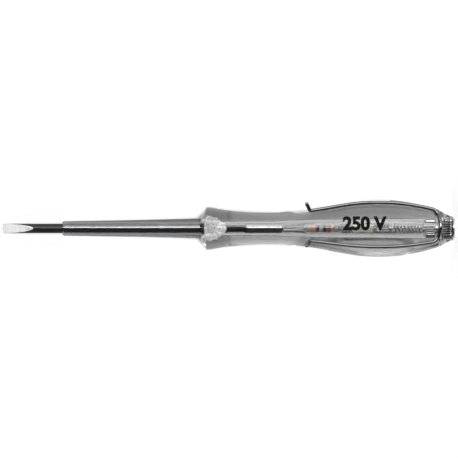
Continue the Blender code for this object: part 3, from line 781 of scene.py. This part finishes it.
# %% Oxide, plating and ground steel
oxide, tree, shader = finish("black_oxide", 0.22, Specular_IOR_Level=0.3)
worn = use(tree, wear, Scratches_per_Metre=420.0, Amount=0.7)
bare = use(tree, rub, Start=-0.002, End=0.0135, Raggedness=0.9)["Rub"]
lines = use(tree, grain, Lines_per_Metre=5200.0)["Grain"]
edge = maths("MAXIMUM", maths("MULTIPLY", worn["Scratches"], 0.35), maths("MULTIPLY", bare, 0.12))
dress(shader, edge, (0.012, 0.012, 0.013), (0.32, 0.31, 0.30), vary(lines, 0.24, 0.38), lines, 0.006 * mm)

plated, tree, shader = finish("plated_steel", 0.1, Metallic=1.0)
lines = use(tree, grain, Lines_per_Metre=5200.0)["Grain"]
haze = use(tree, wear, Scratches_per_Metre=420.0, Amount=0.5)["Scratches"]
dress(shader, haze, (0.52, 0.52, 0.53), 0.38, vary(lines, 0.06, 0.14), lines, 0.003 * mm)

ground, tree, shader = finish("ground_steel", 0.4, Metallic=1.0)
cross = noise(tree, 9000.0, 3.0, 0.7, (1.0, 0.03, 1.0))
broad = noise(tree, 700.0, 2.0, 0.5, (1.0, 0.15, 1.0))
both = maths("MULTIPLY_ADD", broad, 0.5, maths("MULTIPLY", cross, 0.5))
dress(shader, fade(both, 0.35, 0.65), 0.50, 0.62, vary(cross, 0.34, 0.5), cross, 0.008 * mm)

# %% Shape of the blade
shaft_radius, shaft_end, shaft_bevel = 1.5 * mm, 87.0 * mm, 0.3 * mm
tip_thickness, ground_length = 0.5 * mm, 9.5 * mm
wing_start, wing_end, wing_ramp = 69.6 * mm, 74.8 * mm, 0.7 * mm
wing_half_width, wing_half_height = 1.1 * mm, 1.85 * mm

tip_and_rod = [(0.3 * mm, ground_length + 2.0 * mm, 0.3), (14.0 * mm, 18.7 * mm, 4.7)]
tip_and_rod += [(22.0 * mm, wing_start - 1.5 * mm, 4.0)]
wings = (wing_start - wing_ramp, wing_end + wing_ramp, 0.175)
outline = [(0.0, 0.0), (0.0, shaft_radius)] + run(shaft_radius, *tip_and_rod, wings)
outline += [(shaft_end - shaft_bevel, shaft_radius), (shaft_end, shaft_radius - shaft_bevel)]
outline += [(shaft_end, 0.0)]
blade_mesh = turned(outline, 96)
for corner in blade_mesh.vertices:
    x = corner.co.x
    press = ease((x - wing_start + wing_ramp) / wing_ramp) * ease((wing_end + wing_ramp - x) / wing_ramp)
    corner.co.y *= between(1.0, wing_half_width / shaft_radius, press)
    corner.co.z *= between(1.0, wing_half_height / shaft_radius, press)

# %% Grind the tip
grind = math.atan2(shaft_radius - 0.5 * tip_thickness, ground_length)
wheels = plane_cutters("wheel", (24.0 * mm, 24.0 * mm, 24.0 * mm), 0.0, 0.0, 0.5 * tip_thickness, grind)
blade_mesh = cut_away(blade_mesh, wheels)
piece("blade", blade_mesh, oxide, "handle", "blade_shaft")


def on_grind(middle, normal):
    height = 0.5 * tip_thickness + math.tan(grind) * middle.x
    return middle.x < touching or (abs(abs(middle.z) - height) < touching and abs(normal.z) > 0.98)


def plated_part(middle, normal):
    on_wings = wing_start - wing_ramp < middle.x < wing_end + wing_ramp
    return middle.x > sleeve_front and not on_wings


second_finish(blade_mesh, plated, plated_part)
second_finish(blade_mesh, ground, on_grind)

# %% [markdown]
# ## Plug and end of the handle
# The plug is turned and nickelled brass. Its ribs were pressed into the warm plastic, so plastic and metal
# touch there with no air between them, and the round plastic shows the ribs half as large again. That is why
# the end's hole is drawn to the bottom of the ribs, inside the metal. The end has a thin lip round the head,
# which lies in it as in a ring and has a shallow dish that the finger finds. A fine seam parts the end from
# the handle. The ribs could be a bump, but their outline shows at the edge.


# %% Nickel
def plating(name, bright, worn_down, gloss):
    made, tree, shader = finish(name, gloss, Metallic=1.0)
    worn = use(tree, wear, Scratches_per_Metre=700.0, Amount=0.8)
    marks = use(tree, rings, Rings_per_Metre=7000.0)["Rings"]
    dull = maths("MAXIMUM", worn["Smudges"], maths("MULTIPLY", worn["Scratches"], 0.8))
    rough = maths("MULTIPLY_ADD", dull, 0.06, vary(marks, gloss, gloss + 0.06))
    dress(shader, dull, bright, worn_down, rough, marks, 0.003 * mm)
    return made


nickel = plating("plug_nickel", (0.86, 0.85, 0.83), (0.62, 0.61, 0.59), 0.12)
# A darker nickel for the valleys between the ribs: painted shade.
nickel_valley_painted_shade = plating("plug_valley_painted_shade", (0.36, 0.36, 0.35), 0.22, 0.3)
nickel_head = plating("plug_head", (0.50, 0.49, 0.48), (0.40, 0.39, 0.38), 0.3)

# %% Plug
plug_front, shank_end = 130.4 * mm, 134.0 * mm
rear_start, head_front, tool_end = 135.7 * mm, 139.15 * mm, 140.0 * mm
rear_shank, neck, head_radius, bevel = 2.45 * mm, 1.5 * mm, 3.05 * mm, 0.25 * mm
ribs = []
outline = [(plug_front, 0.0)]
for start, end, radius in ((plug_front, shank_end, front_shank), (rear_start, head_front, rear_shank)):
    ribs.append((start + bevel, end - bevel, radius))
    crest = run(radius, (start + bevel, end - bevel, 0.5))
    outline += [(start, radius - bevel), *crest, (end, radius - bevel)]
    if end == shank_end:
        outline += [(shank_end, neck), (rear_start, neck)]
outline += [(head_front, head_radius), (tool_end, head_radius)]
outline += stepped(tool_end, [(0.0, 2.1), (0.1, 1.6), (0.15, 1.1), (0.15, 0.0)], -1.0)


def ribbed(x, angle, radius):
    for start, end, crest in ribs:
        if start - touching < x < end + touching:
            return radius * (1.0 - rib_depth * rib_valley(angle) / crest)
    return radius


plug_mesh = turned(outline, 8 * rib_count, 0.2 * mm)
reshape(plug_mesh, ribbed)
plug_mesh.set_sharp_from_angle(angle=math.radians(50.0))
piece("plug", plug_mesh, nickel, "end_cap", "touch_plug")


def between_ribs(middle, normal):
    depth = [crest - middle.yz.length for start, end, crest in ribs if start < middle.x < end]
    return bool(depth) and depth[0] > 0.75 * rib_depth


# The faces between the ribs take the darker nickel, a painted shade.
second_finish(plug_mesh, nickel_valley_painted_shade, between_ribs)
second_finish(plug_mesh, nickel_head, lambda middle, normal: middle.x > head_front - 0.1 * mm)

# %% Clear end
cone_front = joint_place + seam
cone_hole = rear_shank - rib_depth - 0.02 * mm
cone_round, lip_drop, lip_end = 1.0 * mm, 0.5 * mm, 139.6 * mm
head_room, head_seat = head_radius + 0.06 * mm, head_front - 0.06 * mm


def cone_radius(x):
    share = (x - joint_place) / (cone_end - joint_place)
    return between(cone_front_radius, cone_rear_radius, share ** 1.15)


outline = [(cone_front, cone_hole)] + run(cone_radius, (cone_front, lip_end - cone_round, 0.3))
last = cone_radius(lip_end - cone_round)
for step in range(1, 7):
    turn = 0.5 * math.pi * step / 6
    outline.append((lip_end - cone_round * (1.0 - math.sin(turn)), last - lip_drop * (1.0 - math.cos(turn))))
outline += [(lip_end, head_room), (head_seat, head_room), (head_seat, cone_hole)]
cone_mesh = turned(outline, handle_sides, 0.15 * mm, closed=True)
cone_mesh = cut_away(cone_mesh, [slot_cutter()])
piece("clear_end", cone_mesh, cone_plastic, "end_cap", "end_cone")

# %% [markdown]
# ## Clip
# One length of spring wire is bent to a long U. Its crossing lies in the slot at the end of the handle and
# bows a little to the rear, its legs hug the belly, and its two ends turn outwards so that cloth slides under
# them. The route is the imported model's, with finer steps and the bow, and the sawn ends are slightly domed.
# A bevelled curve would be quicker to draw, but its ends would be flat and its steps uneven.

# %% Dark spring wire
clip_steel, tree, shader = finish("clip_steel", 0.25, Metallic=1.0)
worn = use(tree, wear, Scratches_per_Metre=500.0, Amount=0.8)
lines = use(tree, grain, Lines_per_Metre=7000.0)["Grain"]
pale = maths("MAXIMUM", maths("MULTIPLY", worn["Smudges"], 0.3), worn["Scratches"])
dress(shader, pale, (0.15, 0.15, 0.152), 0.08, vary(lines, 0.05, 0.11), lines, 0.002 * mm)

# %% Route of the wire
wire_radius, clip_front, corner_radius = 0.575 * mm, 95.8 * mm, 2.0 * mm
hook_radius, hook_angle, hook_length = 0.9 * mm, math.radians(68.0), 2.6 * mm
bight_radius, bight_bow = joint_radius + 0.1 * mm, 0.5 * mm


def clip_radius(x):
    """Radius of the wire's middle, clear of the skin where the recess is least deep under it."""
    least_recess = recess(x, clip_centre_angle - clip_half_spread)
    return handle_radius(x) - least_recess + fit_gap + wire_radius


def clip_half(side):
    """Half of the clip from the middle of its crossing to the free end."""
    straight = bight_radius * clip_half_spread - corner_radius
    points = []
    for s in spread(0.0, straight, 0.35 * mm):
        bow = bight_bow * math.cos(0.5 * math.pi * s / straight)
        points.append((joint_place + bow, side * s / bight_radius, bight_radius))
    for step in range(1, 17):
        turn = 0.5 * math.pi * step / 16
        x = joint_place - corner_radius * (1.0 - math.cos(turn))
        angle = side * (straight + corner_radius * math.sin(turn)) / bight_radius
        points.append((x, angle, between(bight_radius, clip_radius(x), ease(step / 16))))
    for x in spread(joint_place - corner_radius, clip_front, 0.5 * mm)[1:]:
        points.append((x, side * clip_half_spread, clip_radius(x)))
    leg = clip_radius(clip_front)
    for step in range(1, 13):
        turn = hook_angle * step / 12
        x, lift = clip_front - hook_radius * math.sin(turn), hook_radius * (1.0 - math.cos(turn))
        points.append((x, side * clip_half_spread, leg + lift))
    x, angle, radius = points[-1]
    for step in range(1, 6):
        length = hook_length * step / 5
        points.append((x - length * math.cos(hook_angle), angle, radius + length * math.sin(hook_angle)))
    return [polar(x, clip_centre_angle + angle, radius) for x, angle, radius in points]


clip_route = clip_half(-1.0)[::-1] + clip_half(1.0)[1:]
piece("clip", wire(clip_route, wire_radius, 24), clip_steel, "clip", "wire_clip")
length = sum((b - a).length for a, b in zip(clip_route, clip_route[1:]))
print("length of clip wire in mm:", round(length / mm, 1))

# %% [markdown]
# ## Glow lamp
# The lamp is a small glass tube, drawn in at both ends and closed round two leads with beads of glass. Inside
# stand two cups of reddish metal with a dark gap between them, where the glow appears in use. The cups are
# open towards each other and a little narrower at both ends, and their rims are darkened. A flat disc for
# each face would do from above only.

# %% Glass and cup metal
lamp_clear, tree, shader = finish("lamp_clear_glass", 0.03, Transmission_Weight=1.0, IOR=1.5)
waves = use(tree, flow, Streaks_per_Metre=600.0)["Height"]
clear, greenish = (0.99, 1.0, 0.995), (0.95, 0.97, 0.96)
dress(shader, vary(waves), greenish, clear, vary(waves, 0.02, 0.06), waves, 0.02 * mm)

bead_glass, tree, shader = finish("bead_glass", 0.1, Transmission_Weight=1.0, IOR=1.52)
bubbles = use(tree, dust, Specks_per_Metre=5200.0, Amount=0.9)["Dust"]
rough = fade(bubbles, 0.0, 1.0, 0.06, 0.5)
dress(shader, bubbles, (0.75, 0.86, 0.8), (0.95, 0.97, 0.95), rough, bubbles, 0.02 * mm)

cup_metal, tree, shader = finish("cup_metal", 0.45, Metallic=0.3)
lines = use(tree, grain, Lines_per_Metre=6000.0)["Grain"]
blotch = use(tree, rings, Rings_per_Metre=1100.0)["Rings"]
height, rough = maths("ADD", lines, blotch), vary(lines, 0.28, 0.46)
dress(shader, fade(blotch, 0.35, 0.62), (0.95, 0.62, 0.52), (0.34, 0.15, 0.11), rough, height, 0.02 * mm)
own_glow(shader, 0.3)

cup_rim, tree, shader = finish("cup_rim", 0.5, Metallic=0.3)
# The rims are darker than the cups, near black.
rim_mottle = noise(tree, 4000.0, 3.0, 0.6)
rough = vary(rim_mottle, 0.4, 0.6)
dress(shader, vary(rim_mottle), (0.02, 0.018, 0.018), (0.06, 0.045, 0.04), rough, rim_mottle, 0.01 * mm)

# %% Tube and beads
lamp_start, lamp_end = 93.6 * mm, 105.4 * mm
lead_radius, lamp_gap = 0.25 * mm, 0.15 * mm
outer, inner = [(0.0, 1.35), (0.0, 1.5), (0.7, 1.64), (1.5, 1.7)], [(1.3, 1.45), (0.7, 1.41)]
tube = stepped(lamp_start, outer) + stepped(lamp_end, outer[::-1], -1.0)
tube += stepped(lamp_end, inner[::-1], -1.0) + stepped(lamp_start, inner)
tube = turned(tube, 64, 0.4 * mm, closed=True)
piece("lamp_tube", tube, lamp_clear, "lamp_stack", "lamp_glass")

bead = [(0.0, 0.4), (0.1, 0.7), (0.0, 1.28), (0.55, 1.28), (0.85, 0.85), (1.1, 0.4)]
for where, end, away in (("front", lamp_start, 1.0), ("rear", lamp_end, -1.0)):
    mesh = turned(stepped(end, bead, away), 48, 0.25 * mm, closed=True)
    piece(f"{where}_bead", mesh, bead_glass, "lamp_stack", f"lamp_{where}_seal")

# %% Cups
cup_radius, cup_wall, cup_length, cup_depth = 1.3 * mm, 0.14 * mm, 3.4 * mm, 1.5 * mm
front_face, rear_face, rim_length = 98.35 * mm, 99.85 * mm, 0.6 * mm


def cup(where, face, away):
    """A drawn cup, open at its face and a little narrower at both ends, with a darkened rim."""
    back, floor_place = face + away * cup_length, face + away * cup_depth
    wall = [(back, 0.0)]
    for share in spread(0.0, 1.0, 0.0625):
        narrower = 0.3 * abs(2.0 * share - 1.0) ** 3.0
        wall.append((between(back, face, share), cup_radius * (1.0 - narrower)))
    wall += [(face, 0.7 * cup_radius - cup_wall), (floor_place, cup_radius - cup_wall), (floor_place, 0.0)]
    mesh = turned(wall, 64, 0.3 * mm)
    piece(f"{where}_cup", mesh, cup_metal, "lamp_stack", f"lamp_{where}_electrode")
    second_finish(mesh, cup_rim, lambda middle, normal: abs(middle.x - face) < rim_length)


cup("front", front_face, -1.0)
cup("rear", rear_face, 1.0)

# %% [markdown]
# ## Leads, ferrule and resistor
# The lamp touches the end of the rod through a tinned wire with a small bend. At its other end a crimped
# ferrule joins the lamp's lead to the resistor's. The resistor is a cream ceramic body between two pressed
# caps, and its rear lead ends in a disc for the spring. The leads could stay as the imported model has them,
# but solder and crimp marks are what one sees through the clear handle at close range.

# %% Tinned wire, caps, brass and ceramic
tinned, tree, shader = finish("tinned_wire", 0.35, Metallic=1.0)
blotch = noise(tree, 2600.0, 4.0, 0.6, (0.4, 1.0, 1.0))
mask, rough = fade(blotch, 0.35, 0.65), vary(blotch, 0.25, 0.45)
dress(shader, mask, (0.50, 0.50, 0.51), (0.68, 0.67, 0.66), rough, blotch, 0.015 * mm)
own_glow(shader, 0.4)

capped, tree, shader = finish("tinned_caps", 0.3, Metallic=1.0)
marks = use(tree, rings, Rings_per_Metre=5000.0)["Rings"]
smudges = use(tree, wear, Scratches_per_Metre=900.0, Amount=0.9)["Smudges"]
rough = vary(marks, 0.2, 0.38)
dress(shader, smudges, (0.74, 0.73, 0.71), (0.55, 0.54, 0.52), rough, marks, 0.008 * mm)

brass, tree, shader = finish("ferrule_brass", 0.32, Metallic=1.0)
marks = use(tree, rings, Rings_per_Metre=5500.0)["Rings"]
tarnish = noise(tree, 1800.0, 4.0, 0.6)
mask, rough = fade(tarnish, 0.35, 0.65), vary(marks, 0.24, 0.42)
dress(shader, mask, (0.68, 0.55, 0.30), (0.46, 0.34, 0.17), rough, marks, 0.01 * mm)

ceramic, tree, shader = finish("cream_ceramic", 0.4)
mottle = noise(tree, 1700.0, 5.0, 0.65)
specks = use(tree, dust, Specks_per_Metre=3600.0, Amount=0.8)["Dust"]
glaze = maths("SUBTRACT", vary(mottle), maths("MULTIPLY", specks, 0.6))
rough = vary(mottle, 0.3, 0.5)
dress(shader, glaze, (0.84, 0.76, 0.58), (0.97, 0.93, 0.80), rough, mottle, 0.02 * mm)
own_glow(shader, 0.3)

# %% Leads
rod_touch, joint_middle = 87.3 * mm, 106.65 * mm
resistor_start, resistor_end, cap_length = 108.8 * mm, 114.7 * mm, 0.75 * mm
disc_start = 119.55 * mm
past_cup, past_cap = cup_length + lamp_gap, cap_length + 2.0 * lamp_gap


def lead(name, start, end, pitch, node_name, offset=lambda x: 0.0):
    """A tinned wire between two places, beside the axis by an offset."""
    route = [(x, offset(x), 0.0) for x in spread(start, end, pitch * mm)]
    piece(name, wire(route, lead_radius, 16), tinned, "lamp_stack", node_name)


def beside_axis(x):
    """The front lead touches the rod beside the axis and enters the lamp on the axis."""
    return -0.45 * mm * (1.0 - ease((x - 88.9 * mm) / (3.1 * mm)))


lead("lamp_front_wire", rod_touch, front_face - past_cup, 0.2, "lamp_front_lead", beside_axis)
lead("lamp_rear_wire", rear_face + past_cup, joint_middle - lamp_gap, 0.3, "lamp_rear_lead")
lead("resistor_front_wire", joint_middle + lamp_gap, resistor_start - past_cap, 0.2, "resistor_front_lead")
lead("resistor_rear_wire", resistor_end + past_cap, disc_start - lamp_gap, 0.3, "resistor_rear_lead")

# %% Ferrule with two crimps
ferrule_start, ferrule_end = joint_middle - 0.85 * mm, joint_middle + 0.85 * mm
ferrule_inner, ferrule_outer = 0.4 * mm, 0.65 * mm


def crimped(x, angle, radius):
    """Two crimps in the outer wall, deepest above and below."""
    if radius > 0.55 * mm:
        for middle in (joint_middle - 0.42 * mm, joint_middle + 0.42 * mm):
            nearness = max(0.0, 1.0 - abs(x - middle) / (0.22 * mm))
            radius -= 0.11 * mm * ease(nearness) * max(0.0, math.cos(2.0 * angle)) ** 0.5
    return radius


outline = [(ferrule_start, ferrule_inner)] + run(ferrule_outer, (ferrule_start, ferrule_end, 0.05))
outline += [(ferrule_end, ferrule_inner)]
ferrule_mesh = turned(outline, 48, 0.05 * mm, closed=True)
reshape(ferrule_mesh, crimped)
piece("ferrule", ferrule_mesh, brass, "lamp_stack", "joint_ferrule")


# %% Resistor, its caps and the disc
def waisted(x):
    """The resistor's body is a little slimmer in the middle."""
    share = 2.0 * min(x - resistor_start, resistor_end - x) / (resistor_end - resistor_start)
    return 1.25 * mm - 0.07 * mm * ease(share)


end = [(0.0, 0.0), (0.0, 1.1), (0.3, 1.25)]
outline = stepped(resistor_start, end)
outline += run(waisted, (resistor_start + 0.6 * mm, resistor_end - 0.6 * mm, 0.4))
outline += stepped(resistor_end, end[::-1], -1.0)
piece("resistor", turned(outline, 64, 0.25 * mm), ceramic, "lamp_stack", "resistor_body")

# From its open end: a rolled lip, the wall and a boss for the lead.
cap = [(0.0, 0.0), (0.0, 1.3), (0.16, 1.3), (0.24, 1.22), (0.6, 1.2), (0.65, 0.6), (0.75, 0.45), (0.75, 0.0)]
for where, end, away in (("front", resistor_start, -1.0), ("rear", resistor_end, 1.0)):
    mesh = turned(stepped(end + away * lamp_gap, cap, away), 64, 0.12 * mm)
    piece(f"{where}_cap", mesh, capped, "lamp_stack", f"resistor_{where}_cap")

disc = [(0.0, 0.0), (0.0, 0.5), (0.12, 0.7), (0.12, 1.5), (0.5, 1.5), (0.5, 1.1), (0.42, 1.0), (0.42, 0.0)]
disc = turned(stepped(disc_start, disc), 64, 0.08 * mm)
piece("contact_disc", disc, capped, "lamp_stack", "spring_contact_disc")

# %% [markdown]
# ## Contact spring
# The spring presses the lamp and the resistor forward against the rod. It is wound from thin wire on a
# lathe, open all along. When the stack floats back, the spring gets shorter. A curve would be lighter, but
# the spring is a mesh, with a mesh of its own.

# %% Wind the spring
spring_steel, tree, shader = finish("spring_steel", 0.25, Metallic=1.0)
lines = use(tree, grain, Lines_per_Metre=8000.0)["Grain"]
smudges = use(tree, wear, Scratches_per_Metre=900.0, Amount=0.7)["Smudges"]
dress(shader, smudges, 0.9, 0.6, vary(lines, 0.14, 0.24), lines, 0.004 * mm)

spring_start, spring_end = 120.2 * mm, 130.1 * mm
spring_wire, spring_radius, spring_turns = 0.2 * mm, 1.33 * mm, 9
straight = 2.0 * spring_wire
steps = 36 * spring_turns
coil = [polar(spring_start, 0.0, spring_radius)]
for share in (step / steps for step in range(steps + 1)):
    x = between(spring_start + straight, spring_end - straight, share)
    coil.append(polar(x, 2.0 * math.pi * spring_turns * share, spring_radius))
coil.append(polar(spring_end, 0.0, spring_radius))
spring_mesh = wire(coil, spring_wire, 12)
spring = piece("spring", spring_mesh, spring_steel, "end_cap", "contact_spring")
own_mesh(spring)

# %% [markdown]
# ## Rating on the handle
# The handle carries its rating in black print, "250 V", on the clip's side. The letters are raised by a few
# hundredths of a millimetre of ink. They start as a text object in Blender's own font, become a mesh, are
# divided finely and are laid on the round skin point by point. A texture would need an image or many nodes.

# %% Ink
ink, tree, shader = finish("print_ink", 0.6, Specular_IOR_Level=0.03)
worn = use(tree, wear, Scratches_per_Metre=380.0, Amount=0.8)
pale = maths("MULTIPLY_ADD", worn["Scratches"], 0.7, maths("MULTIPLY", worn["Smudges"], 0.15))
screen = noise(tree, 3800.0, 2.0, 0.6)
dress(shader, pale, (0.005, 0.005, 0.006), 0.05, vary(screen, 0.42, 0.6), screen, 0.006 * mm)

# %% Letters as a mesh
letters_place, letters_height = (112.0 * mm, 1.35 * mm), 3.9 * mm
letters = bpy.data.curves.new("rating", "FONT")
letters.body = "250 V"
letters.align_x, letters.align_y = "CENTER", "CENTER"
letters.size = 1.42 * letters_height
letters.offset, letters.extrude = 0.27 * mm, 0.015 * mm
letters.resolution_u = 6
draft = add("draft", letters)
bpy.context.view_layer.update()
rating_mesh = bpy.data.meshes.new_from_object(draft.evaluated_get(bpy.context.evaluated_depsgraph_get()))
bpy.data.objects.remove(draft)

# %% Letters laid on the skin
longest, ink_height = 0.35 * mm, 0.012 * mm
shape = bmesh.new()
shape.from_mesh(rating_mesh)
bmesh.ops.remove_doubles(shape, verts=shape.verts, dist=0.002 * mm)
bmesh.ops.triangulate(shape, faces=shape.faces)
for _ in range(5):
    long = [edge for edge in shape.edges if edge.calc_length() > longest]
    if not long:
        break
    bmesh.ops.subdivide_edges(shape, edges=long, cuts=1)
    bmesh.ops.triangulate(shape, faces=shape.faces)
for corner in shape.verts:
    x, y = letters_place[0] + corner.co.x, letters_place[1] + corner.co.y
    radius = handle_radius(x)
    for step in range(4):
        angle = math.asin(y / radius)
        radius = handle_radius(x) - recess(x, angle)
    corner.co = polar(x, angle, radius + ink_height + corner.co.z)
open_edges = sum(1 for edge in shape.edges if not edge.is_manifold)
rating_mesh = as_mesh(shape, 50.0)
rating_mesh.name = "rating"
rating = add("rating", rating_mesh)
rating_mesh.materials.append(ink)
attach(rating, "handle")
print("letters:", len(rating_mesh.polygons), "faces, open edges:", open_edges)
